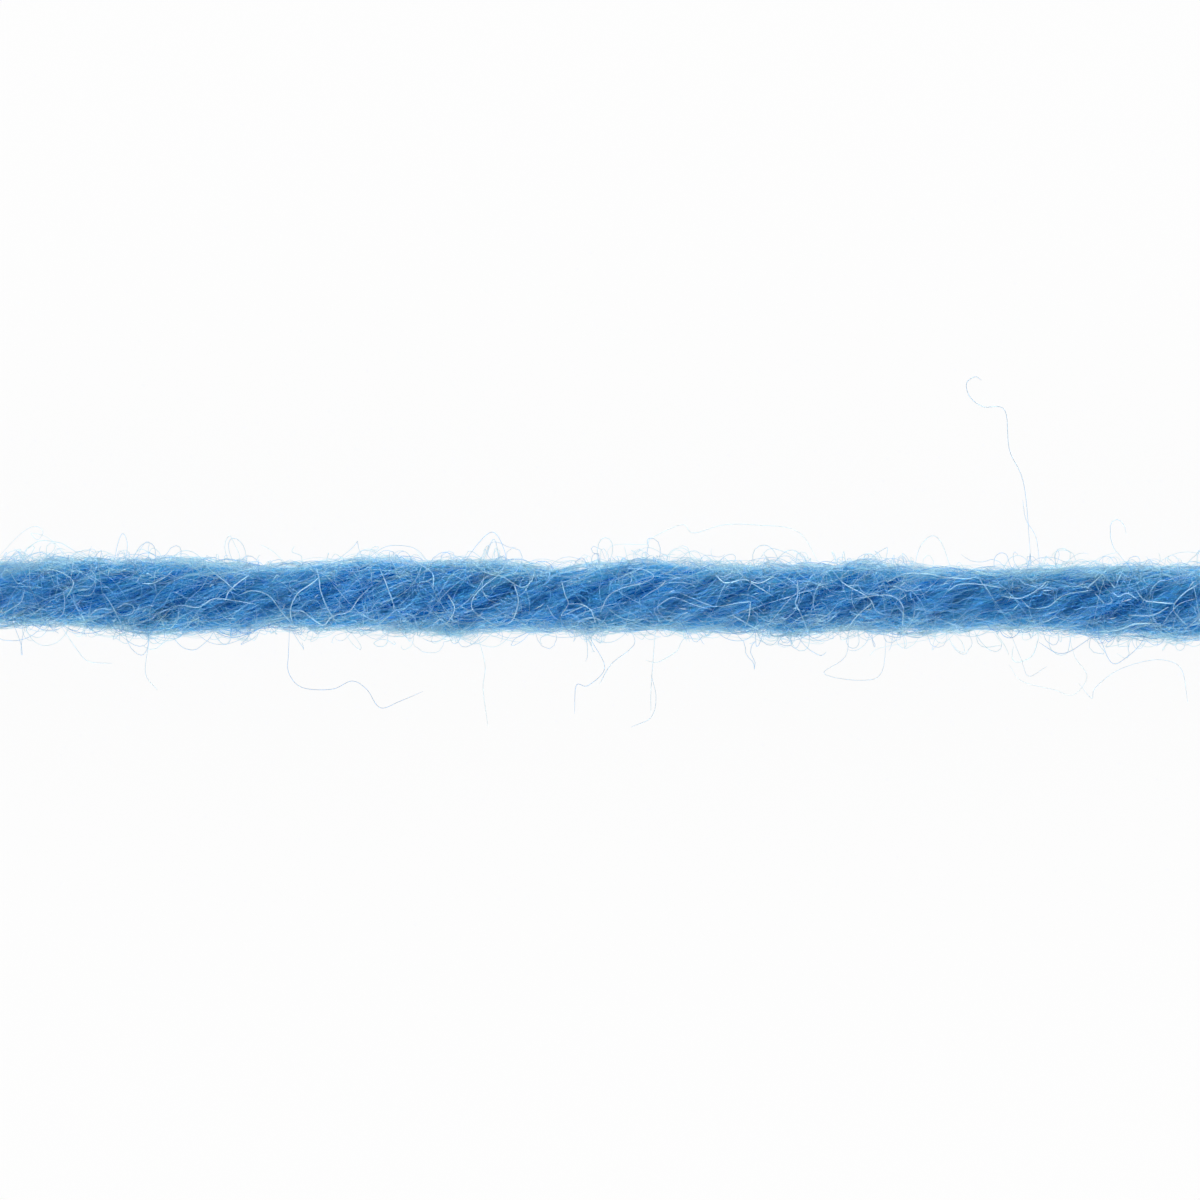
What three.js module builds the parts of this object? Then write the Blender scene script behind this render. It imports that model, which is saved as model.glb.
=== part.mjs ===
// Merino wool yarn: a short cut length of plied knitting yarn, lying straight on a flat surface.
// Six soft plies are twisted round each other to the left (S twist), with no core between them.
// Millimetres. +X runs along the yarn, +Z is up, and the origin is under its middle, on the
// surface that it lies on.
import * as THREE from 'three';
import { mergeVertices } from 'three/addons/utils/BufferGeometryUtils.js';

// Driving dimensions
const YARN_LENGTH = 42;
const PLY_COUNT = 6;
const TWIST_LEAD = 8.2; // length of yarn in which each ply goes round once
const FIRST_GROOVE = -17.73; // where a groove between two plies crosses the top of the yarn
const RIDGE_RADIUS = 1.08; // from the yarn's axis to the back of a ply
const GROOVE_RADIUS = 0.92; // from the yarn's axis to the bottom of a groove
const FLAT_DEPTH = 0.09; // how much of the underside its own weight presses flat
const END_FLARE = 0.07; // how much the plies open at a cut end
const END_REACH = 1.3; // how far back from a cut end they have opened
const SWELL_WIDTH = THREE.MathUtils.degToRad(50); // how far round the yarn a swell spreads

// Fineness of the faces
const POINTS_PER_PLY = 8;
const STEPS_ALONG = 84;

// The twist was not put in evenly: at each place the plies lie this far ahead of an even twist.
const PLY_SLIPS = [
  { at: -21.0, slip: 0.0 },
  { at: -17.7, slip: 0.0 },
  { at: -15.1, slip: -0.12 },
  { at: -10.0, slip: 0.06 },
  { at: -5.6, slip: -0.55 },
  { at: -3.0, slip: -0.32 },
  { at: -0.6, slip: -0.5 },
  { at: 3.8, slip: -0.22 },
  { at: 6.4, slip: -0.4 },
  { at: 8.4, slip: -0.16 },
  { at: 12.1, slip: -0.28 },
  { at: 14.4, slip: -0.68 },
  { at: 16.4, slip: -0.24 },
  { at: 21.0, slip: -0.1 },
];

// Thick and thin places: where along the yarn, on which side of it, how far they reach, and how
// far the surface stands out there. A hollow has a negative out.
const SWELLS = [
  { at: -17.6, side: 'far', reach: 0.9, out: -0.07 },
  { at: -15.6, side: 'far', reach: 1.1, out: 0.06 },
  { at: -12.9, side: 'far', reach: 1.2, out: 0.05 },
  { at: -10.2, side: 'far', reach: 0.9, out: -0.07 },
  { at: -6.6, side: 'far', reach: 1.1, out: 0.13 },
  { at: -3.4, side: 'far', reach: 1.3, out: 0.06 },
  { at: -1.4, side: 'far', reach: 0.9, out: -0.09 },
  { at: 1.6, side: 'far', reach: 1.2, out: 0.08 },
  { at: 3.8, side: 'far', reach: 0.8, out: -0.04 },
  { at: 8.0, side: 'far', reach: 0.6, out: 0.07 },
  { at: 11.8, side: 'far', reach: 2.4, out: -0.09 },
  { at: -16.9, side: 'near', reach: 1.3, out: -0.08 },
  { at: -13.0, side: 'near', reach: 1.1, out: 0.12 },
  { at: -10.9, side: 'near', reach: 0.7, out: 0.1 },
  { at: -9.8, side: 'near', reach: 0.6, out: -0.1 },
  { at: -4.2, side: 'near', reach: 0.9, out: 0.08 },
  { at: 1.6, side: 'near', reach: 0.9, out: -0.05 },
  { at: 5.7, side: 'near', reach: 0.8, out: 0.08 },
  { at: 7.4, side: 'near', reach: 0.8, out: -0.07 },
  { at: 12.6, side: 'near', reach: 1.6, out: -0.09 },
  { at: 15.2, side: 'near', reach: 0.7, out: 0.07 },
  { at: 17.3, side: 'near', reach: 1.1, out: 0.12 },
  { at: -14.4, side: 'top', reach: 1.4, out: -0.04 },
  { at: -7.6, side: 'top', reach: 1.6, out: 0.05 },
  { at: 0.4, side: 'top', reach: 1.2, out: 0.04 },
  { at: 9.6, side: 'top', reach: 1.5, out: 0.05 },
  { at: 13.8, side: 'top', reach: 1.2, out: -0.04 },
];

// Angles round the yarn are measured from its top towards its far side, +Y.
const SIDE_ANGLES = { top: 0, far: Math.PI / 2, near: -Math.PI / 2 };

// How far the twist has slipped at a place: a smooth step from each row to the next.
function slipAt(x) {
  const next = PLY_SLIPS.findIndex((row) => row.at >= x);
  if (next <= 0) {
    return next === 0 ? PLY_SLIPS[0].slip : PLY_SLIPS.at(-1).slip;
  }
  const before = PLY_SLIPS[next - 1];
  const after = PLY_SLIPS[next];
  const blend = THREE.MathUtils.smoothstep(x, before.at, after.at);
  return THREE.MathUtils.lerp(before.slip, after.slip, blend);
}

// How far round the yarn a groove has travelled at x, in radians.
function twistAt(x) {
  return ((x - slipAt(x) - FIRST_GROOVE) / TWIST_LEAD) * 2 * Math.PI;
}

// The bumps and hollows of all the swells at one place of the surface.
function swellAt(x, angle) {
  let out = 0;
  for (const swell of SWELLS) {
    const along = (x - swell.at) / swell.reach;
    const turned = angle - SIDE_ANGLES[swell.side];
    const around = Math.atan2(Math.sin(turned), Math.cos(turned)) / SWELL_WIDTH;
    out += swell.out * Math.exp(-along * along - around * around);
  }
  return out;
}

// The rounded back of a ply: 1 along its middle, 0 in the groove on each side of it.
function plyBack(ringAngle) {
  const acrossPly = (ringAngle * PLY_COUNT) / (2 * Math.PI);
  const fromMiddle = 2 * (acrossPly - Math.floor(acrossPly + 1e-6)) - 1;
  return Math.sqrt(Math.max(0, 1 - fromMiddle * fromMiddle));
}

// From the yarn's axis to its surface, at ringAngle round a ring that turns with the plies.
function radiusAt(x, ringAngle) {
  const round = THREE.MathUtils.lerp(GROOVE_RADIUS, RIDGE_RADIUS, plyBack(ringAngle));
  const fromEnd = YARN_LENGTH / 2 - Math.abs(x);
  const opened = 1 + END_FLARE * Math.exp(-((fromEnd / END_REACH) ** 2));
  return round * opened + swellAt(x, ringAngle + twistAt(x));
}

// A cylinder along X, its rings turned with the twist and drawn in to the plies, with the part
// that would sink below the surface pressed flat.
function yarnGeometry() {
  const around = PLY_COUNT * POINTS_PER_PLY;
  const cylinder = new THREE.CylinderGeometry(1, 1, YARN_LENGTH, around, STEPS_ALONG);
  cylinder.rotateZ(Math.PI / 2);
  cylinder.deleteAttribute('normal');
  cylinder.deleteAttribute('uv');
  const geometry = mergeVertices(cylinder, 1e-4);
  const axisHeight = RIDGE_RADIUS - FLAT_DEPTH;
  const points = geometry.getAttribute('position');
  for (let i = 0; i < points.count; i++) {
    const x = points.getX(i);
    const ringAngle = Math.atan2(points.getY(i), points.getZ(i));
    const onSurface = Math.hypot(points.getY(i), points.getZ(i)) > 0.5;
    const radius = onSurface ? radiusAt(x, ringAngle) : 0;
    const angle = ringAngle + twistAt(x);
    const z = axisHeight + radius * Math.cos(angle);
    points.setXYZ(i, x, radius * Math.sin(angle), Math.max(0, z));
  }
  geometry.computeBoundingBox();
  const middle = geometry.boundingBox.getCenter(new THREE.Vector3());
  geometry.translate(-middle.x, -middle.y, 0);
  geometry.computeVertexNormals();
  return geometry;
}

const wool = new THREE.MeshStandardMaterial({ color: 0x3f86bd, roughness: 0.9, metalness: 0 });

const yarn = new THREE.Mesh(yarnGeometry(), wool);
yarn.name = 'yarn';

const model = new THREE.Group();
model.add(yarn);

export default model;
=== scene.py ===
import bpy
import numpy as np
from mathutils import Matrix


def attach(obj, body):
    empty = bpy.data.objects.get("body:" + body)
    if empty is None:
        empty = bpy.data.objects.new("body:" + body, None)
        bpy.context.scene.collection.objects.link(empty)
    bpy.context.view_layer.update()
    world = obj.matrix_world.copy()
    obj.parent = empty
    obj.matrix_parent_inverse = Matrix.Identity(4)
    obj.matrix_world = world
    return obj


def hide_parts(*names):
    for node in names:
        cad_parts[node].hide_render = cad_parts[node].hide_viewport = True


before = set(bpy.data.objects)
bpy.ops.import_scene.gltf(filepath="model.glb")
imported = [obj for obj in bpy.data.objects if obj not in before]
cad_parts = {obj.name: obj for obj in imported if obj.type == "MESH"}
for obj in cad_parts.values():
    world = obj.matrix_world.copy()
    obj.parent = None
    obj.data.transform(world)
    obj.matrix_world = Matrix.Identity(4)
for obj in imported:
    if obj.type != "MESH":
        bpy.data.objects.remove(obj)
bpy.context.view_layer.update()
MM = 0.001


# The view. The yarn lies along X, and the camera looks straight down on it from far off through
# a long lens, so that the frame takes in the 36 mm of it that the photograph shows.
PHOTO_PIXELS = 1200
PIXEL = 0.03 * MM
AXIS_ROW = 597.5  # the photograph's row in which the yarn's axis lies at mid-width
AXIS_FALL = 6.0  # how many rows the axis drops from the left edge to the right
VIEW_DISTANCE = 0.3
view_width = PHOTO_PIXELS * PIXEL
axis_height = 0.99 * MM  # the yarn's axis above the surface that it lies on

lens = bpy.data.cameras.new("camera")
lens.sensor_width = 36.0
lens.lens = lens.sensor_width * VIEW_DISTANCE / view_width
camera = bpy.data.objects.new("camera", lens)
camera.location = (0.0, (AXIS_ROW - PHOTO_PIXELS / 2) * PIXEL, axis_height + VIEW_DISTANCE)
camera.rotation_euler = (0.0, 0.0, AXIS_FALL / PHOTO_PIXELS)
bpy.context.collection.objects.link(camera)
bpy.context.scene.camera = camera


# The yarn's body. Six soft plies are twisted to the left round each other, unevenly, with thick
# and thin places, and the yarn's own weight presses the underside flat on the surface. This is
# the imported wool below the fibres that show.
YARN_LENGTH = 42 * MM
PLY_COUNT = 6
TWIST_LEAD = 8.2 * MM
FIRST_GROOVE = -17.73 * MM
BODY_GROOVE, BODY_BACK = 0.58 * MM, 0.76 * MM  # from the axis to a groove and to a ply's back
END_FLARE = 0.07
END_REACH = 1.3 * MM
SWELL_WIDTH = np.radians(50)
SWELL_GAIN = 1.6
AROUND, ALONG = 72, 240
GRAIN_LEAN = np.radians(20)
GRAIN_FINE, GRAIN_LONG = 12.0, 0.7  # how close the streaks lie round the yarn, and along it
PAINTED_SHADE_BY_HEIGHT, TONE_BY_STREAK, TONE_START = 0.6, 2.6, 0.1
END_SHADE = 0.5  # the shade kept at the middle of a cut end

# The place along the yarn in mm, and how far the twist has slipped ahead there.
PLY_SLIPS = np.array([
    (-21.0, 0.0), (-17.7, 0.0), (-15.1, -0.12), (-10.0, 0.06), (-5.6, -0.55),
    (-3.0, -0.32), (-0.6, -0.5), (3.8, -0.22), (6.4, -0.4), (8.4, -0.16),
    (12.1, -0.28), (14.4, -0.68), (16.4, -0.24), (21.0, -0.1),
]) * MM

# For each side, by its angle from the top towards +Y: place, reach and height of each swell in mm.
# Loose fibres round the outline off, so the swells are built higher than they look, by the gain.
SWELLS = {
    90: [
        (-17.6, 0.9, -0.07), (-15.6, 1.1, 0.06), (-12.9, 1.2, 0.05), (-10.2, 0.9, -0.07),
        (-6.6, 1.1, 0.13), (-3.4, 1.3, 0.06), (-1.4, 0.9, -0.09), (1.6, 1.2, 0.08),
        (3.8, 0.8, -0.04), (8.0, 0.6, 0.07), (11.8, 2.4, -0.09),
    ],
    -90: [
        (-16.9, 1.3, -0.08), (-13.0, 1.1, 0.12), (-10.9, 0.7, 0.1), (-9.8, 0.6, -0.1),
        (-4.2, 0.9, 0.08), (1.6, 0.9, -0.05), (5.7, 0.8, 0.08), (7.4, 0.8, -0.07),
        (12.6, 1.6, -0.09), (15.2, 0.7, 0.07), (17.3, 1.1, 0.12),
    ],
    0: [
        (-14.4, 1.4, -0.04), (-7.6, 1.6, 0.05), (0.4, 1.2, 0.04), (9.6, 1.5, 0.05),
        (13.8, 1.2, -0.04),
    ],
}


def twist_at(x):
    """How far round the first groove has gone at x: one turn for each lead, less the slip, which
    runs from row to row of its table as a smooth step."""
    after = np.clip(np.searchsorted(PLY_SLIPS[:, 0], x), 1, len(PLY_SLIPS) - 1)
    start, slip = np.moveaxis(PLY_SLIPS[after - 1], -1, 0)
    end, next_slip = np.moveaxis(PLY_SLIPS[after], -1, 0)
    share = np.clip((x - start) / (end - start), 0, 1)
    slip = slip + (next_slip - slip) * share * share * (3 - 2 * share)
    return (x - slip - FIRST_GROOVE) / TWIST_LEAD * 2 * np.pi


def height_on_ply(x, angle):
    """How high a spot stands on its ply: a half circle, from 0 in the grooves to 1 on the back."""
    across = (angle - twist_at(x)) * PLY_COUNT / (2 * np.pi)
    across = 2 * (across - np.floor(across)) - 1
    return np.sqrt(np.clip(1 - across * across, 0, 1))


def radius_at(x, angle, groove, back):
    """From the axis to the plies: groove to back by the height on the ply, opened near the cut
    ends, plus a bell-shaped bump for each swell."""
    radius = groove + (back - groove) * height_on_ply(x, angle)
    from_end = (YARN_LENGTH / 2 - np.abs(x)) / END_REACH
    radius = radius * (1 + END_FLARE * np.exp(-from_end * from_end))
    for side, rows in SWELLS.items():
        turned = angle - np.radians(side)
        turned = np.arctan2(np.sin(turned), np.cos(turned)) / SWELL_WIDTH
        for place, reach, height in rows:
            off = (x / MM - place) / reach
            radius = radius + SWELL_GAIN * height * MM * np.exp(-off * off - turned * turned)
    return radius


def round_axis(x, angle, radius, lowest=0.0):
    """Points at those distances along, round and out from the axis, none below the surface."""
    up = np.maximum(lowest, axis_height + radius * np.cos(angle))
    return np.stack([x + 0 * angle, radius * np.sin(angle), up], axis=-1)


def tube_wall(corner):
    """The triangles of a tube's wall. corner holds the numbers of its points, which go round
    along the last axis and from end to end along the one before."""
    beside = np.roll(corner, -1, axis=-1)
    near, far = corner[..., :-1, :], corner[..., 1:, :]
    near_beside, far_beside = beside[..., :-1, :], beside[..., 1:, :]
    return np.concatenate([
        np.stack([near, near_beside, far_beside], -1).reshape(-1, 3),
        np.stack([near, far_beside, far], -1).reshape(-1, 3),
    ])


def add_mesh(name, points, triangles, material, shade):
    """A piece of those points and triangles, with the shade kept at every point."""
    mesh = bpy.data.meshes.new(name)
    mesh.vertices.add(len(points))
    mesh.vertices.foreach_set("co", points.astype(np.float32).ravel())
    mesh.loops.add(triangles.size)
    mesh.loops.foreach_set("vertex_index", triangles.astype(np.int32).ravel())
    mesh.polygons.add(len(triangles))
    mesh.polygons.foreach_set("loop_start", np.arange(0, triangles.size, 3, dtype=np.int32))
    kept = mesh.attributes.new("shade", "FLOAT", "POINT")
    kept.data.foreach_set("value", shade.astype(np.float32).ravel())
    mesh.update(calc_edges=True)
    mesh.shade_smooth()
    mesh.materials.append(material)
    piece = bpy.data.objects.new(name, mesh)
    bpy.context.collection.objects.link(piece)
    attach(piece, "root")
    return piece


class Shade:
    """A node's output socket that can be added, subtracted and multiplied as numbers are."""

    def __init__(self, tree, socket):
        self.tree, self.socket = tree, socket

    def node(self, kind, settings=None, **inputs):
        """A new node in the same tree: its type, its settings, then its inputs by name, with
        underscores for spaces, or by number after an i. The node is handed back."""
        made = self.tree.nodes.new(kind)
        for setting, value in (settings or {}).items():
            setattr(made, setting, value)
        for name, value in inputs.items():
            place = made.inputs[int(name[1:]) if name[1:].isdigit() else name.replace("_", " ")]
            if isinstance(value, Shade):
                self.tree.links.new(value.socket, place)
            else:
                place.default_value = value
        return made

    def out(self, kind, output=0, settings=None, **inputs):
        """An output of such a new node, by its name or number."""
        return Shade(self.tree, self.node(kind, settings, **inputs).outputs[output])

    def _maths(self, operation, a, b):
        return self.out("ShaderNodeMath", settings={"operation": operation}, i0=a, i1=b)

    def __add__(self, other):
        return self._maths("ADD", self, other)

    __radd__ = __add__

    def __mul__(self, other):
        return self._maths("MULTIPLY", self, other)

    __rmul__ = __mul__

    def __sub__(self, other):
        return self._maths("SUBTRACT", self, other)

    def __rsub__(self, other):
        return self._maths("SUBTRACT", other, self)

    def blend(self, low, high):
        """A colour between low and high, by this value."""
        settings = {"data_type": "RGBA"}
        return self.out("ShaderNodeMix", 2, settings, i0=self, i6=low, i7=high)

    def become_surface(self):
        """This shader is made the surface of its material."""
        self.node("ShaderNodeOutputMaterial", Surface=self)


def new_material(name):
    """An empty material, and a Shade to build it from."""
    material = bpy.data.materials.new(name)
    material.use_nodes = True
    material.node_tree.nodes.clear()
    return material, Shade(material.node_tree, None)


x_rows = np.linspace(-YARN_LENGTH / 2, YARN_LENGTH / 2, ALONG)[:, None]
ring = np.arange(AROUND)[None, :] * (2 * np.pi / AROUND)
angles = ring + twist_at(x_rows)
radii = radius_at(x_rows, angles, BODY_GROOVE, BODY_BACK)
end_middles = np.array([(-YARN_LENGTH / 2, 0, axis_height), (YARN_LENGTH / 2, 0, axis_height)])
points = np.concatenate([round_axis(x_rows, angles, radii).reshape(-1, 3), end_middles])
corner = np.arange(ALONG * AROUND).reshape(ALONG, AROUND)
beside = np.roll(corner, -1, axis=1)
left_middle, right_middle = corner.size, corner.size + 1
faces = np.concatenate([
    tube_wall(corner),
    np.stack([beside[0], corner[0], np.full(AROUND, left_middle)], -1),
    np.stack([corner[-1], beside[-1], np.full(AROUND, right_middle)], -1),
])

# Packed wool is painted a deeper blue in the grooves and lighter on the ply backs: painted shade.
# Streaks run along its grain, a fine down on it catches the light that grazes it, and some of the
# light goes right through it.
body_wool, shade = new_material("packed_wool")
grain = shade.out("ShaderNodeAttribute", "Vector", {"attribute_name": "grain"})
height = shade.out("ShaderNodeAttribute", "Fac", {"attribute_name": "shade"})
streaks = shade.out("ShaderNodeTexNoise", Vector=grain, Scale=1.0, Detail=4.0, Roughness=0.6)
tone = height * PAINTED_SHADE_BY_HEIGHT + (streaks - 0.5) * TONE_BY_STREAK + TONE_START
colour = tone.blend((0.006, 0.19, 0.80, 1), (0.04, 0.37, 0.90, 1))
relief = shade.out("ShaderNodeBump", Strength=0.6, Distance=0.02 * MM, Height=streaks)
face = shade.out("ShaderNodeBsdfPrincipled", Base_Color=colour, Roughness=0.8,
                 Specular_IOR_Level=0.2, Normal=relief, Sheen_Weight=0.8, Sheen_Roughness=0.5,
                 Sheen_Tint=(0.6, 0.85, 1.0, 1))
back = shade.out("ShaderNodeBsdfTranslucent", Color=(0.05, 0.42, 0.83, 1))
both = shade.out("ShaderNodeMixShader", i0=0.4, i1=face, i2=back)
both.become_surface()

body_shade = np.append(height_on_ply(x_rows, angles).ravel(), (END_SHADE, END_SHADE))
body = add_mesh("yarn_body", points, faces, body_wool, body_shade)
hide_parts("yarn")

# The grain is a point's place on a long drum: its angle with the fibres' lean taken out, and its
# place along, drawn short so that a pattern read there comes out long.
unwound = angles - x_rows * np.tan(GRAIN_LEAN) / BODY_BACK
drum = [GRAIN_LONG * x_rows / MM + 0 * angles]
drum += [GRAIN_FINE * np.cos(unwound), GRAIN_FINE * np.sin(unwound)]
drum = np.concatenate([np.stack(drum, -1).reshape(-1, 3), np.zeros((2, 3))])
kept = body.data.attributes.new("grain", "FLOAT_VECTOR", "POINT")
kept.data.foreach_set("vector", drum.astype(np.float32).ravel())


# The fibres of the plies. Each ply is a loose bundle of merino fibres, spun the other way from
# the plying, so on its outside they lean less than the ply does, and they end in its grooves.
# They keep together in locks.
FIBRE_RADIUS = 0.0060 * MM
FIBRE_PIECES = 4
LOCKS_EACH = 1030
LOCK_SIZE = 4
FIBRES_EACH = LOCKS_EACH * LOCK_SIZE
FIBRE_STEPS = 4
CORE = (0.60 * MM, 0.78 * MM)  # groove and back of the innermost fibres that show
SKIN = (0.76 * MM, 1.09 * MM)  # and of the outermost ones
BACK_LEAN, GROOVE_LEAN = 20, 32  # in degrees from the yarn's run, on a ply's back and by a groove
PAINTED_GROOVE_SHADE = 2.3
TIP_LOSS = 0.6  # the share of its thickness that a fibre loses towards its tips
LOWEST = 1.3 * FIBRE_RADIUS  # how near a fibre's middle line may come to the surface
UNDERSIDE = np.radians(115)  # from the top of the yarn round to where its underside begins
rng = np.random.default_rng(7)


def add_fibres(name, lines, radii, material, shades):
    """Thin closed tubes in one mesh. lines holds a row of points for each fibre. Three corners
    stand a radius off each point, a third of a turn apart, square to the run of the line there;
    each joins the next point's same corner, and a triangle shuts each end. shades has one number
    for each fibre, or one for each of its points."""
    count, steps = lines.shape[:2]
    run = np.gradient(lines, axis=1)
    run /= np.linalg.norm(run, axis=2, keepdims=True)
    off = np.cross(run[:, 0], np.eye(3)[np.abs(run[:, 0]).argmin(axis=1)])
    sides = np.empty_like(lines)
    for step in range(steps):
        off = off - (off * run[:, step]).sum(axis=1, keepdims=True) * run[:, step]
        off /= np.linalg.norm(off, axis=1, keepdims=True)
        sides[:, step] = off
    across = np.cross(run, sides)
    turns = np.arange(3) * (2 * np.pi / 3)
    points = (
        lines[:, :, None]
        + radii[:, :, None, None] * np.cos(turns)[:, None] * sides[:, :, None]
        + radii[:, :, None, None] * np.sin(turns)[:, None] * across[:, :, None]
    )
    corner = np.arange(count * steps * 3).reshape(count, steps, 3)
    faces = np.concatenate([tube_wall(corner), corner[:, 0, ::-1], corner[:, -1]])
    shade = np.repeat(np.clip(np.broadcast_to(shades, (count, steps)), 0, 1), 3, axis=1)
    add_mesh(name, points.reshape(-1, 3), faces, material, shade)


def tapered(count, steps, radius, spread=0.2):
    """A radius for each point of each fibre: its own thickness, drawn in at both tips."""
    own = radius * rng.uniform(1 - spread, 1 + spread, (count, 1))
    tip = np.abs(np.linspace(-1, 1, steps))[None, :] ** 8
    return own * (1 - TIP_LOSS * tip)


def lines_on_yarn(x, angle, lean, bend, length, steps, surface, lift, tuck):
    """Lines over the yarn from their middles at x and angle, moved along where they would pass a
    cut end. Each runs at its lean from the axis, which changes by its bend from end to end. Its
    middle stands its lift off the surface, which is the radii of its grooves and backs, and its
    ends are sunk in by its tuck. Handed back are the points, and their x and angle."""
    along = np.linspace(-0.5, 0.5, steps)[None, :]
    heading = lean[:, None] + bend[:, None] * along
    pace = length[:, None] / (steps - 1)
    far = np.cumsum(np.cos(heading) * pace, axis=1)
    round_way = np.cumsum(np.sin(heading) * pace, axis=1)
    middle = steps // 2
    far -= far[:, middle:middle + 1]
    x = np.clip(x, -YARN_LENGTH / 2 - far.min(axis=1), YARN_LENGTH / 2 - far.max(axis=1))
    x = x[:, None] + far
    angle = angle[:, None] + (round_way - round_way[:, middle:middle + 1]) / SKIN[1]
    hump = np.cos(np.pi * along)
    ends = (2 * np.abs(along)) ** 4
    radius = radius_at(x, angle, *surface) + lift[:, None] * hump - tuck[:, None] * ends
    return round_axis(x, angle, radius, lowest=LOWEST), x, angle


def mostly_above(angle, underside):
    """Which places to keep: all but those on the underside, and of those only that share."""
    down = np.cos(angle) < np.cos(UNDERSIDE)
    return ~down | (rng.uniform(size=angle.size) < underside)


def places_all_round(count):
    """The x and the angle of random places all over the yarn, with few on its underside."""
    x = rng.uniform(-YARN_LENGTH / 2, YARN_LENGTH / 2, 2 * count)
    angle = rng.uniform(-np.pi, np.pi, 2 * count)
    kept = np.flatnonzero(mostly_above(angle, 0.3))[:count]
    return x[kept], angle[kept]


def of_lock(numbers, spread):
    """Each lock's number for each of its fibres, give or take a normal spread."""
    return np.repeat(numbers, LOCK_SIZE) + rng.normal(0, spread, FIBRES_EACH)


def wool(name, deep, light, through, glow, rough=0.6):
    """Fibres of dyed wool. Their tone is the shade kept at the points, with soft patches. It takes
    their face from deep to light. It also takes the share of them that lets light through, in a
    colour of its own, from the first number of glow to the second."""
    material, shade = new_material(name)
    spot = shade.out("ShaderNodeTexCoord", "Object")
    patches = shade.out("ShaderNodeTexNoise", Vector=spot, Scale=900.0, Detail=3.0)
    kept = shade.out("ShaderNodeAttribute", "Fac", {"attribute_name": "shade"})
    tone = kept + (patches - 0.5) * 0.3
    face = shade.out("ShaderNodeBsdfPrincipled", Base_Color=tone.blend(deep, light),
                     Roughness=rough, Specular_IOR_Level=0.3)
    back = shade.out("ShaderNodeBsdfTranslucent", Color=through)
    share = tone * (glow[1] - glow[0]) + glow[0]
    both = shade.out("ShaderNodeMixShader", i0=share, i1=face, i2=back)
    both.become_surface()
    return material


fibre_wool = wool(
    "wool_fibres", deep=(0.007, 0.32, 0.87, 1), light=(0.15, 0.51, 0.95, 1),
    through=(0.42, 0.88, 0.97, 1), glow=(0.64, 0.64),
)
for part in range(FIBRE_PIECES):
    x = rng.uniform(-YARN_LENGTH / 2, YARN_LENGTH / 2, 2 * LOCKS_EACH)
    across = rng.beta(2.4, 2.4, 2 * LOCKS_EACH)
    ply = rng.integers(PLY_COUNT, size=2 * LOCKS_EACH)
    angle = twist_at(x) + (ply + across) * 2 * np.pi / PLY_COUNT
    kept = np.flatnonzero(mostly_above(angle, 0.4))[:LOCKS_EACH]
    from_back = np.abs(2 * across[kept] - 1)
    lean = BACK_LEAN + (GROOVE_LEAN - BACK_LEAN) * from_back + rng.normal(0, 7, LOCKS_EACH)
    outward = rng.beta(1.1, 3.6, FIBRES_EACH)  # 0 in the core, 1 at the skin
    surface = [(core + (skin - core) * outward)[:, None] for core, skin in zip(CORE, SKIN)]
    lines, x, angle = lines_on_yarn(
        x=of_lock(x[kept], 0.3 * MM),
        angle=of_lock(angle[kept], 0.07),
        lean=np.radians(of_lock(lean, 3)),
        bend=of_lock(rng.normal(0, 0.2, LOCKS_EACH), 0.12),
        length=rng.uniform(1.1, 2.8, FIBRES_EACH) * MM,
        steps=FIBRE_STEPS,
        surface=surface,
        lift=np.minimum(rng.exponential(0.015, FIBRES_EACH), 0.12) * MM,
        tuck=rng.uniform(0.02, 0.08, FIBRES_EACH) * MM,
    )
    # Painted shade: a fibre's shade is its lock's own tone, a little paler towards the skin, and
    # much darker towards the grooves.
    own = of_lock(rng.uniform(0.2, 0.5, LOCKS_EACH), 0.06) + 0.2 * outward
    shades = own[:, None] + PAINTED_GROOVE_SHADE * (height_on_ply(x, angle) ** 2 - 0.6)
    radii = tapered(FIBRES_EACH, FIBRE_STEPS, FIBRE_RADIUS)
    add_fibres(f"ply_fibres_{part + 1}", lines, radii, fibre_wool, shades)


# The fuzz. Short ends and low loops of fibre stand a little off the plies all over the yarn, and
# blur its outline. Their colour is painted paler towards the yarn's sides, and they let more light
# through there: painted light from behind the flanks.
FUZZ_COUNT = 2900
FUZZ_STEPS = 11
VEIL = (0.78 * MM, 1.01 * MM)
fuzz_wool = wool(
    "wool_fuzz", deep=(0.02, 0.31, 0.79, 1), light=(0.54, 0.80, 0.91, 1),
    through=(0.70, 0.89, 0.93, 1), glow=(0.3, 0.9),
)


def painted_side_light(lines):
    """How far to the side each point lies, squared (0 above the axis, 1 where the plies end): a
    mask of painted light, paler towards the sides.
    """
    return np.clip(lines[:, :, 1] / SKIN[0], -1, 1) ** 2


x, angle = places_all_round(FUZZ_COUNT)
lines, *_ = lines_on_yarn(
    x=x,
    angle=angle,
    lean=np.radians(rng.normal(16, 18, FUZZ_COUNT)),
    bend=rng.normal(0, 0.7, FUZZ_COUNT),
    length=rng.uniform(0.8, 2.6, FUZZ_COUNT) * MM,
    steps=FUZZ_STEPS,
    surface=VEIL,
    lift=np.minimum(rng.exponential(0.055, FUZZ_COUNT) + 0.01, 0.4) * MM,
    tuck=rng.uniform(-0.04, 0.12, FUZZ_COUNT) * MM,
)
# Painted light: the fuzz is painted paler towards the yarn's sides.
shades = rng.uniform(-0.2, 0.3, (FUZZ_COUNT, 1)) + 0.9 * painted_side_light(lines)
radii = tapered(FUZZ_COUNT, FUZZ_STEPS, FIBRE_RADIUS)
add_fibres("fuzz", lines, radii, fuzz_wool, shades)


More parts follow.
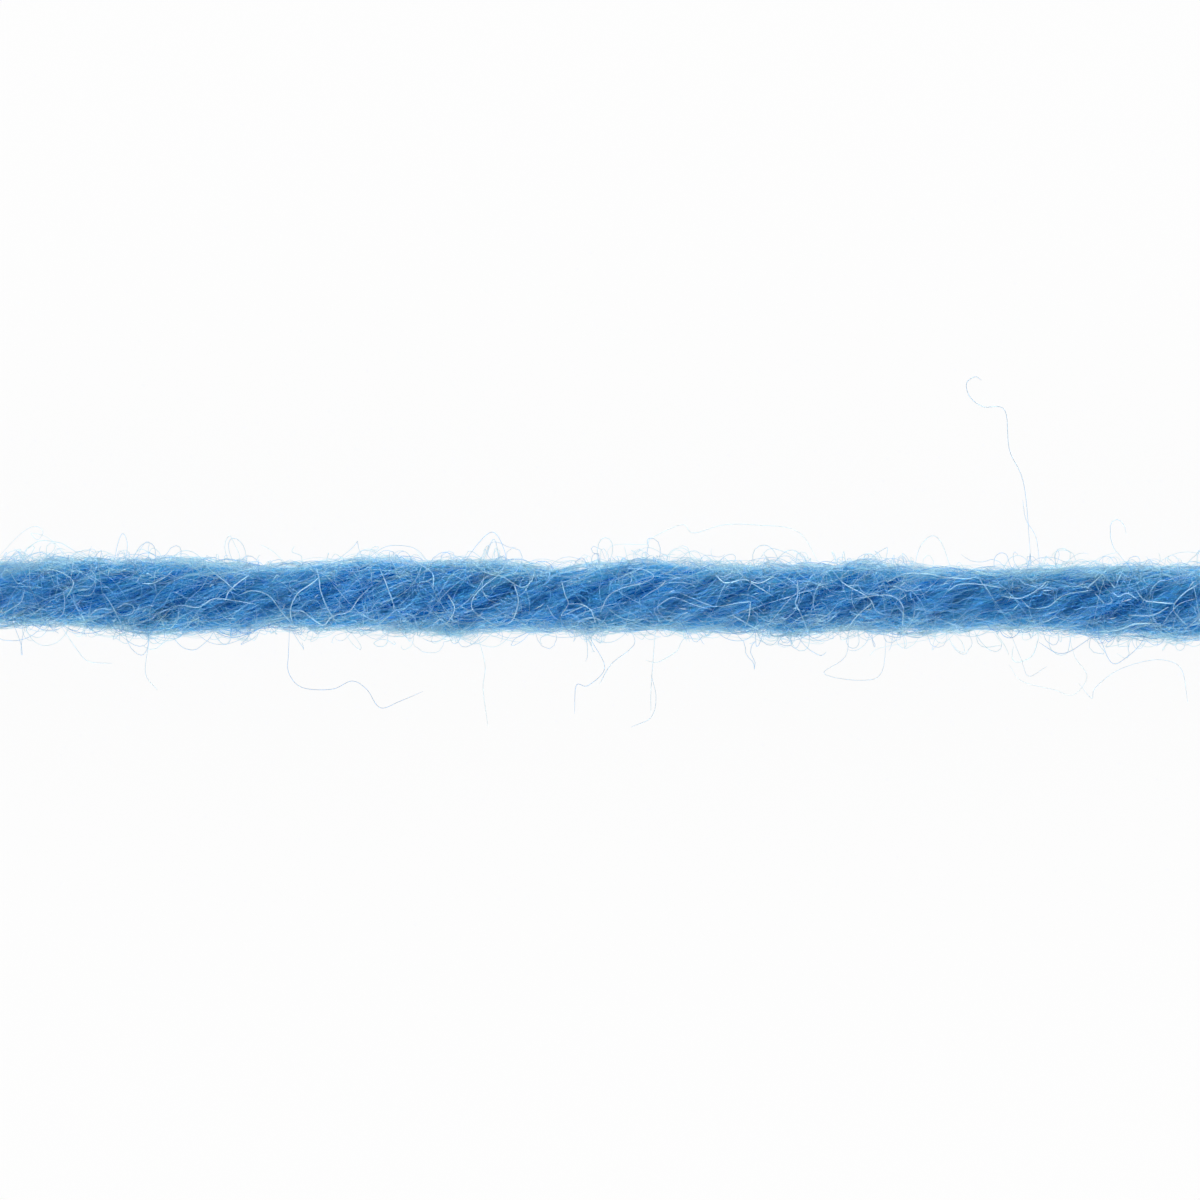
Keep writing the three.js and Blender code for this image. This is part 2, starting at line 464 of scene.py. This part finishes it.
# The fringe. Other fibres curl further out all round the yarn, so that it ends in a thin haze and
# not in an edge. More than half of them hang together in tangles.
FRINGE_COUNT = 1500
FRINGE_STEPS = 20
FRINGE_RADIUS = 0.0073 * MM
FRINGE_ROUND = np.radians(120)  # from the top of the yarn down to where the fringe ends
TURN_KEPT = 0.7  # the share of its turn that a curling line keeps from step to step
TANGLED = 900
TANGLE_ANGLE, TANGLE_SPREAD = np.radians(85), np.radians(25)  # from the top of the yarn
REACH_SPREADS = 1.5  # how many standard deviations a tangle's reach is

# The tangles that the photograph shows: place and reach along in mm, how thick, and the side, +Y
# or -Y.
TANGLES = np.array([
    (-16.8, 1.0, 15, 1), (-13.8, 0.7, 4, 1), (-11.2, 0.7, 4, 1), (-8.4, 0.9, 3, 1),
    (-5.0, 0.6, 3, 1), (-3.2, 0.8, 4, 1), (0.9, 0.8, 7, 1), (3.8, 0.8, 8, 1),
    (5.9, 0.4, 3, 1), (8.1, 0.4, 5, 1), (9.6, 0.8, 7, 1), (13.1, 0.6, 8, 1),
    (15.7, 0.7, 8, 1), (17.6, 0.6, 4, 1), (-17.3, 0.6, 3, -1), (-14.2, 1.1, 9, -1),
    (-10.1, 0.3, 3, -1), (-8.0, 0.9, 4, -1), (-5.0, 0.9, 9, -1), (-0.7, 0.8, 7, -1),
    (2.7, 0.6, 3, -1), (5.5, 0.5, 5, -1), (7.6, 0.7, 8, -1), (9.4, 0.8, 3, -1),
    (12.6, 0.4, 4, -1), (15.7, 0.7, 4, -1), (17.3, 0.7, 4, -1),
])


def curling_lines(x, angle, length, steps, curl, pull):
    """Lines that leave the yarn's skin at x and angle and keep turning. The turn of a step is what
    is kept of the last one plus a random part as big as the curl, and the pull draws a line that
    is off the skin back to it, by so much for each mm."""
    spot = round_axis(x, angle, radius_at(x, angle, *VEIL))
    heading = rng.normal(0, 1, spot.shape) * (1.0, 0.5, 0.5)
    turn = np.zeros(spot.shape)
    spots = [spot]
    for step in range(steps - 1):
        outward = (spot - (0, 0, axis_height)) * (0, 1, 1)
        reach = np.linalg.norm(outward, axis=1)
        skin = radius_at(spot[:, 0], np.arctan2(outward[:, 1], outward[:, 2]), *VEIL)
        turn = TURN_KEPT * turn + rng.normal(0, 1, spot.shape) * curl[:, None]
        heading = heading / np.linalg.norm(heading, axis=1, keepdims=True)
        heading = heading + np.cross(turn, heading)
        heading = heading - (pull * (reach - skin) / MM / reach)[:, None] * outward
        spot = spot + heading * length[:, None] / (steps - 1)
        spots.append(spot)
    lines = np.stack(spots, axis=1)
    lines[:, :, 2] = np.maximum(lines[:, :, 2], LOWEST)
    return lines


x = rng.uniform(-YARN_LENGTH / 2, YARN_LENGTH / 2, FRINGE_COUNT)
angle = rng.uniform(-FRINGE_ROUND, FRINGE_ROUND, FRINGE_COUNT)
rows = rng.choice(len(TANGLES), TANGLED, p=TANGLES[:, 2] / TANGLES[:, 2].sum())
place, reach, thick, side = TANGLES[rows].T
x[:TANGLED] = rng.normal(place, reach / REACH_SPREADS) * MM
angle[:TANGLED] = side * rng.normal(TANGLE_ANGLE, TANGLE_SPREAD, TANGLED)
lines = curling_lines(
    x=x,
    angle=angle,
    length=rng.uniform(1.0, 3.4, FRINGE_COUNT) * MM,
    steps=FRINGE_STEPS,
    curl=np.minimum(rng.exponential(0.16, FRINGE_COUNT), 0.4),
    pull=rng.uniform(0.4, 1.5, FRINGE_COUNT) ** 2,
)
# Painted light: the fringe is painted paler towards the yarn's sides.
shades = rng.uniform(-0.2, 0.5, (FRINGE_COUNT, 1)) + 0.5 * painted_side_light(lines)
radii = tapered(FRINGE_COUNT, FRINGE_STEPS, FRINGE_RADIUS)
add_fibres("fringe", lines, radii, fuzz_wool, shades)


# The stray fibres. Longer fibres have worked loose and cross the plies at all angles in arcs and
# loops; they catch the light, and look nearly white on the blue.
STRAY_COUNT = 580
STRAY_STEPS = 22
STRAY_RADIUS = 0.0083 * MM
stray_wool = wool(
    "wool_strays", deep=(0.06, 0.42, 0.85, 1), light=(0.72, 0.93, 0.99, 1),
    through=(0.78, 0.95, 0.99, 1), glow=(0.2, 0.6), rough=0.35,
)
x, angle = places_all_round(STRAY_COUNT)
lines, *_ = lines_on_yarn(
    x=x,
    angle=angle,
    lean=rng.uniform(-np.pi / 2, np.pi / 2, STRAY_COUNT),
    bend=rng.normal(0, 2.2, STRAY_COUNT),
    length=rng.uniform(1.0, 4.0, STRAY_COUNT) * MM,
    steps=STRAY_STEPS,
    surface=VEIL,
    lift=np.minimum(rng.exponential(0.05, STRAY_COUNT) + 0.02, 0.3) * MM,
    tuck=rng.uniform(0.0, 0.15, STRAY_COUNT) * MM,
)
shades = rng.uniform(0, 1, (STRAY_COUNT, 1)) ** 2.4
radii = tapered(STRAY_COUNT, STRAY_STEPS, STRAY_RADIUS)
add_fibres("stray_fibres", lines, radii, stray_wool, shades)


# The glints. Here and there a short stretch of fibre is coloured nearly white: painted highlights.
GLINT_COUNT = 420
GLINT_STEPS = 4
GLINT_RADIUS = 0.0125 * MM
painted_glint_wool = wool(
    "wool_painted_glints", deep=(0.58, 0.90, 0.99, 1), light=(0.88, 0.98, 1.0, 1),
    through=(0.80, 0.96, 1.0, 1), glow=(0.5, 0.5), rough=0.3,
)
lines, *_ = lines_on_yarn(
    x=rng.uniform(-YARN_LENGTH / 2, YARN_LENGTH / 2, GLINT_COUNT),
    angle=rng.uniform(-np.radians(110), np.radians(110), GLINT_COUNT),
    lean=np.radians(rng.normal(24, 22, GLINT_COUNT)),
    bend=rng.normal(0, 0.5, GLINT_COUNT),
    length=rng.uniform(0.08, 0.40, GLINT_COUNT) * MM,
    steps=GLINT_STEPS,
    surface=VEIL,
    lift=rng.uniform(0.02, 0.08, GLINT_COUNT) * MM,
    tuck=rng.uniform(0.0, 0.02, GLINT_COUNT) * MM,
)
shades = rng.uniform(0, 1, (GLINT_COUNT, 1))
radii = tapered(GLINT_COUNT, GLINT_STEPS, GLINT_RADIUS, spread=0.4)
add_fibres("painted_glints", lines, radii, painted_glint_wool, shades)


# The crossing fibres. The boldest strays are laid where the photograph shows them, each
# through a few points along and across the yarn in mm, and they rest on the plies below.
CROSSING_STEPS = 40
CROSSING_RADIUS = 0.0148 * MM
SETTLING = 1.2 * MM  # how far beside the yarn a laid fibre has sunk to about a third
CROSSING_ROUTES = [
    [(-18.0, -0.65), (-17.5, -0.35), (-17.3, -0.2), (-17.2, 0.15)],
    [(-16.9, -0.7), (-16.5, -0.8), (-16.1, -0.6), (-16.0, -0.25), (-16.05, 0.1)],
    [(-16.7, 0.8), (-16.2, 0.7), (-15.85, 0.5), (-15.75, 0.3), (-15.95, -0.1)],
    [(-15.4, 0.6), (-15.1, 0.35), (-15.25, 0.0), (-15.65, 0.0)],
    [(-14.85, 0.05), (-14.6, -0.3), (-14.3, -0.85), (-13.85, -1.05)],
    [(-13.35, -1.0), (-12.95, -0.5), (-12.55, -0.3), (-12.0, -0.35), (-11.55, -0.1),
     (-10.9, -0.15), (-10.3, -0.25)],
    [(-11.8, 1.0), (-11.7, 0.8), (-11.25, 0.45), (-10.9, 0.15)],
    [(-10.85, 0.0), (-10.4, 0.15), (-9.9, 0.0), (-9.5, -0.5), (-9.2, -0.85)],
    [(-8.4, 0.55), (-8.65, 0.35), (-9.05, 0.05), (-9.25, -0.4), (-9.2, -0.85)],
    [(-8.5, 0.85), (-8.4, 0.5), (-8.35, 0.15), (-8.15, -0.35), (-7.9, -0.75)],
    [(-9.2, -0.45), (-8.9, -0.45), (-8.5, -0.75), (-8.25, -0.85), (-8.0, -0.6),
     (-7.5, -0.45), (-7.2, -0.05), (-6.8, 0.35)],
    [(-6.6, 0.85), (-6.4, 0.4), (-6.2, -0.15), (-6.15, -0.4)],
    [(-5.75, 1.1), (-5.3, 0.9), (-5.0, 0.65), (-5.0, 0.2)],
    [(-4.55, 0.05), (-4.35, -0.35), (-4.55, -0.75), (-4.75, -0.8)],
    [(-2.8, 1.1), (-3.0, 0.7), (-3.45, 0.35), (-3.8, -0.05), (-3.8, -0.4), (-3.4, -0.7),
     (-3.05, -0.85), (-2.55, -0.7), (-1.6, -0.65)],
    [(-3.9, 1.15), (-3.55, 0.8), (-3.15, 0.65), (-2.9, 0.6), (-2.35, 0.3), (-2.05, 0.5),
     (-1.95, 0.85)],
    [(-2.4, 0.95), (-2.6, 0.7), (-3.0, 0.65), (-3.4, 1.05)],
    [(-2.6, 0.45), (-2.45, -0.1), (-2.6, -0.65), (-2.85, -0.85)],
    [(-1.15, 0.5), (-1.05, 0.1), (-0.95, -0.2), (-1.15, -0.55), (-0.8, -0.4), (-0.45, -0.25)],
    [(-0.95, -0.2), (-0.6, -0.2), (-0.3, -0.35), (-0.2, -0.55), (-0.1, -0.85)],
    [(0.6, 0.85), (1.25, 0.85), (1.6, 0.65), (1.3, 0.45), (0.7, 0.3), (0.25, 0.05),
     (0.0, -0.45)],
    [(1.2, -0.05), (1.65, 0.25), (2.05, 0.45), (2.6, 0.45), (2.9, 0.3)],
    [(1.6, -0.35), (2.0, -0.05), (2.3, 0.0), (2.8, -0.2), (3.35, -0.35)],
    [(3.7, 1.25), (4.05, 0.9), (4.4, 0.55), (4.8, 0.3), (5.2, 0.05)],
    [(3.45, 0.7), (3.75, 0.45), (4.3, 0.55), (4.75, 0.45), (5.2, 0.65)],
    [(4.55, 0.9), (4.95, 0.85), (4.6, 0.55), (4.4, 0.2)],
    [(5.9, 0.55), (5.9, 0.1), (5.85, -0.15), (6.0, -0.45), (6.25, -1.05)],
    [(6.95, 0.85), (7.3, 0.45), (7.85, 0.15), (8.1, -0.05), (8.25, -0.35), (8.55, -0.5)],
    [(7.6, 0.0), (8.2, 0.1), (8.7, 0.1), (9.05, -0.2), (9.05, -0.8)],
    [(8.6, 0.5), (9.1, 0.75), (9.8, 0.75), (10.4, 0.65), (11.2, 0.6)],
    [(10.4, 0.25), (10.75, 0.45), (11.4, 0.45), (12.0, 0.35)],
    [(16.05, 0.25), (16.3, 0.0), (16.6, -0.05), (17.2, -0.1)],
    [(18.0, 0.55), (17.45, 0.2), (17.15, -0.25), (17.55, -0.75)],
    [(17.8, 0.05), (17.35, -0.1), (17.1, -0.35), (16.85, -0.7)],
    [(-14.55, -0.45), (-14.3, -0.6), (-14.0, -0.55), (-13.95, -0.35), (-14.2, -0.25),
     (-14.45, -0.4)],
    [(-12.8, 0.75), (-13.0, 0.55), (-13.4, 0.35), (-13.7, 0.35)],
    [(-10.5, 0.6), (-10.8, 0.4), (-11.1, 0.1), (-11.2, -0.15)],
    [(-6.1, -0.4), (-6.45, -0.7), (-6.7, -0.95)],
    [(-1.6, -0.2), (-1.4, -0.55), (-1.2, -0.7)],
    [(-0.55, -0.65), (-0.2, -0.6), (0.15, -0.75), (0.25, -0.95)],
    [(2.4, 0.15), (3.1, -0.15), (3.5, -0.25), (4.1, -0.15), (4.5, -0.1)],
    [(3.4, 0.85), (3.6, 0.65), (3.85, 0.7), (4.0, 0.9)],
    [(3.95, -0.5), (4.4, -0.75), (4.85, -1.0)],
    [(4.5, -0.1), (4.45, -0.6), (4.35, -0.85)],
    [(7.4, -0.9), (7.7, -0.5), (8.15, -0.1)],
    [(7.9, 1.15), (7.95, 1.3), (8.1, 1.35), (8.25, 1.25), (8.3, 1.1)],
    [(11.1, 0.9), (11.55, 0.75), (12.0, 0.75), (12.6, 0.9)],
    [(10.3, -0.65), (10.9, -0.85), (11.7, -0.9)],
    [(12.0, 0.1), (12.6, 0.05), (13.15, 0.35), (13.35, 0.55)],
    [(12.6, 0.0), (12.9, -0.25), (13.4, -0.2), (13.9, 0.15), (14.8, 0.3)],
    [(14.6, 0.4), (14.95, 0.7), (15.2, 0.95)],
    [(14.85, 0.9), (15.2, 0.6), (15.4, 0.35)],
    [(14.8, 0.2), (15.1, -0.1), (15.3, -0.05), (15.25, 0.1)],
    [(17.55, 0.8), (17.0, 0.6), (16.7, 0.55), (16.4, 0.2)],
    [(14.85, -0.95), (15.5, -0.9), (16.05, -0.7), (16.8, -0.7)],
    [(15.8, -0.45), (16.5, -0.45), (17.0, -0.2)],
    [(16.1, 0.0), (15.75, 0.2), (15.5, 0.1), (15.3, 0.25)],
]


def smooth_route(route, steps):
    """A smooth line through the route's points: between each two, the cubic whose slope at a
    point is half the way from the point before to the point after."""
    route = np.array(route)
    before, after = 2 * route[0] - route[1], 2 * route[-1] - route[-2]
    held = np.vstack([before, route, after])
    place = np.linspace(0, len(route) - 1, steps)
    piece = np.minimum(place.astype(int), len(route) - 2)
    t = (place - piece)[:, None]
    a, b, c, d = held[piece], held[piece + 1], held[piece + 2], held[piece + 3]
    return (
        (2 * t**3 - 3 * t**2 + 1) * b + (t**3 - 2 * t**2 + t) * (c - a) / 2
        + (3 * t**2 - 2 * t**3) * c + (t**3 - t**2) * (d - b) / 2
    )


def laid_lines(routes, steps, lift):
    """Lines along the routes, seen from above. Over the yarn each stands its lift off the plies;
    beside it the line sinks from the axis height towards the surface."""
    flat = np.stack([smooth_route(route, steps) for route in routes]) * MM
    x, y = flat[:, :, 0], flat[:, :, 1]
    angle = np.arcsin(np.clip(y / SKIN[1], -1, 1))
    radius = radius_at(x, angle, *VEIL) + lift[:, None]
    beside = np.maximum(np.abs(y) - radius, 0)
    over = np.sqrt(np.maximum(radius * radius - y * y, 0))
    up = axis_height * np.exp(-beside / SETTLING) + over
    return np.stack([x, y, np.maximum(up, LOWEST)], axis=-1)


count = len(CROSSING_ROUTES)
lift = rng.uniform(0.03, 0.10, count) * MM
lines = laid_lines(CROSSING_ROUTES, CROSSING_STEPS, lift)
radii = tapered(count, CROSSING_STEPS, CROSSING_RADIUS, spread=0.35)
shades = rng.uniform(0.6, 1, (count, 1))
add_fibres("crossing_fibres", lines, radii, stray_wool, shades)


# The long loose fibres. A few stand well clear of the yarn on both sides, each in its own wave,
# with one end still held in the plies; they settle on the surface further out.
LOOSE_RADIUS = 0.0070 * MM
LOOSE_STEPS = 60
LOOSE_ROUTES = [
    [(12.95, 0.9), (12.75, 3.4), (12.3, 4.5), (12.15, 5.7), (11.5, 5.8), (11.1, 6.1),
     (11.0, 6.5), (11.25, 6.7), (11.45, 6.6)],
    [(13.2, 0.9), (13.1, 1.85), (12.8, 2.4), (12.7, 3.0)],
    [(-4.15, 0.75), (-3.9, 1.3), (-3.25, 1.95), (-2.85, 1.3), (-2.95, 0.8)],
    [(0.1, 0.9), (0.35, 1.55), (1.35, 1.6), (1.55, 1.8), (2.45, 2.2), (2.8, 1.95),
     (3.7, 2.2), (4.7, 2.2), (5.95, 2.0), (6.65, 0.9)],
    [(9.4, 0.85), (9.6, 1.55), (9.95, 1.9), (10.25, 1.7), (10.55, 0.85)],
    [(-14.6, 0.75), (-14.5, 1.5), (-14.35, 1.85), (-14.2, 1.5), (-14.3, 0.75)],
    [(-18.3, 0.85), (-17.45, 1.8), (-17.0, 2.05), (-16.75, 1.9), (-16.9, 1.65),
     (-17.1, 1.85), (-16.5, 1.65), (-15.65, 0.8)],
    [(-16.25, -0.8), (-15.7, -1.65), (-15.35, -2.0), (-14.65, -2.05)],
    [(-13.45, -0.8), (-13.55, -1.5), (-13.65, -2.35), (-13.3, -2.85)],
    [(-14.35, -0.85), (-14.1, -1.55), (-13.75, -1.8), (-13.55, -1.45), (-13.6, -0.8)],
    [(-9.3, -0.8), (-9.35, -1.7), (-9.35, -2.3), (-8.95, -2.75), (-8.05, -2.8),
     (-7.45, -2.55), (-7.0, -2.8), (-6.6, -3.35), (-6.0, -3.15), (-5.3, -2.85)],
    [(-3.8, -0.7), (-3.45, -2.0), (-3.5, -2.75), (-3.35, -3.9)],
    [(-0.4, -0.7), (-0.3, -1.2), (0.15, -2.1), (-0.35, -2.65), (-0.7, -2.65), (-0.75, -3.5)],
    [(0.65, -0.65), (1.05, -1.35), (0.35, -2.0), (0.0, -2.6)],
    [(1.7, -0.65), (1.65, -1.25), (1.55, -2.75), (1.55, -3.45)],
    [(1.55, -2.3), (1.7, -3.0), (1.55, -3.6), (0.95, -3.9)],
    [(8.6, -0.65), (8.5, -2.15), (7.9, -2.45), (6.75, -2.25), (7.4, -1.7), (7.45, -0.65)],
    [(8.1, -1.7), (8.5, -1.45), (10.3, -1.1), (10.95, -0.55)],
    [(12.1, -0.5), (12.65, -1.75), (12.9, -2.3), (13.45, -2.0)],
    [(12.3, -1.95), (12.7, -2.45), (13.65, -2.7), (14.25, -2.85), (14.65, -2.3),
     (14.25, -1.65), (14.0, -0.65)],
    [(14.4, -2.5), (14.8, -2.95), (14.9, -2.65), (15.5, -2.15), (16.3, -1.85),
     (17.0, -1.8), (17.5, -2.1), (17.7, -3.1)],
    [(14.85, -0.65), (15.35, -1.85), (15.85, -1.7), (16.3, -1.2), (16.4, -0.65)],
]
count = len(LOOSE_ROUTES)
lift = rng.uniform(0.0, 0.05, count) * MM
lines = laid_lines(LOOSE_ROUTES, LOOSE_STEPS, lift)
radii = tapered(count, LOOSE_STEPS, LOOSE_RADIUS)
shades = rng.uniform(0, 1, (count, 1))
add_fibres("loose_fibres", lines, radii, stray_wool, shades)


# The cut ends. Both ends are cut straight through, and the ends of the fibres stand out of the
# cut a little way, opening like a brush.
BRUSH_COUNT = 1300
BRUSH_STEPS = 6
BRUSH_REACH = 0.97 * MM
BRUSH_LONGEST = 1.1 * MM
BRUSH_ROOT = -0.35  # where a fibre starts inside the cut, in its own lengths
for end, side in (("left", -1), ("right", 1)):
    length = np.minimum(rng.gamma(1.6, 0.11, (BRUSH_COUNT, 1)) * MM, BRUSH_LONGEST)
    along = np.linspace(BRUSH_ROOT, 1, BRUSH_STEPS)[None, :]
    out = along * length
    start = BRUSH_REACH * np.sqrt(rng.uniform(0, 1, (BRUSH_COUNT, 1)))
    opened = start + np.maximum(out, 0) * rng.normal(0.3, 0.4, (BRUSH_COUNT, 1)) * (1 + along)
    swung = rng.normal(0.1, 0.3, (BRUSH_COUNT, 1)) * along * along * length / BRUSH_REACH
    angle = rng.uniform(-np.pi, np.pi, (BRUSH_COUNT, 1)) + swung
    lines = round_axis(side * (YARN_LENGTH / 2 + out), angle, opened, LOWEST)
    radii = tapered(BRUSH_COUNT, BRUSH_STEPS, FIBRE_RADIUS)
    shades = rng.uniform(0.0, 0.7, (BRUSH_COUNT, 1))
    add_fibres(f"cut_end_{end}", lines, radii, fuzz_wool, shades)


# The floor and the light. The yarn lies on a plain white light table, so that the ground is
# nearly shadowless. Long soft lights low on both sides, the far one a little stronger, light its
# flanks more than its top.
FLOOR_SIZE = 2.0
FLOOR_GLOW = 0.94
OVERHEAD_LIGHT = 0.45
SIDE_LIGHT = 17.3
FAR_SIDE_MORE = 0.05
floor_mesh = bpy.data.meshes.new("floor")
half = FLOOR_SIZE / 2
floor_mesh.from_pydata(
    [(-half, -half, 0), (half, -half, 0), (half, half, 0), (-half, half, 0)], [], [(0, 1, 2, 3)]
)
floor = bpy.data.objects.new("floor", floor_mesh)
bpy.context.collection.objects.link(floor)
floor_material, shade = new_material("floor_white")
paper = shade.out("ShaderNodeBsdfDiffuse", Color=(0.05, 0.05, 0.05, 1))
glow = shade.out("ShaderNodeEmission", Color=(1, 1, 1, 1), Strength=FLOOR_GLOW)
both = shade.out("ShaderNodeAddShader", i0=paper, i1=glow)
both.become_surface()
floor_mesh.materials.append(floor_material)

world = bpy.data.worlds.new("studio")
world.use_nodes = True
sky = Shade(world.node_tree, None)
direction = sky.out("ShaderNodeTexCoord", "Generated")
beside = sky.out("ShaderNodeSeparateXYZ", "Y", Vector=direction) + FAR_SIDE_MORE
low = 1 - sky.out("ShaderNodeSeparateXYZ", "Z", Vector=direction)
strength = OVERHEAD_LIGHT + SIDE_LIGHT * beside * beside * low * low * low * low
background = world.node_tree.nodes["Background"]
background.inputs["Color"].default_value = (1, 1, 1, 1)
world.node_tree.links.new(strength.socket, background.inputs["Strength"])
bpy.context.scene.world = world
bpy.context.scene.view_settings.view_transform = "Standard"
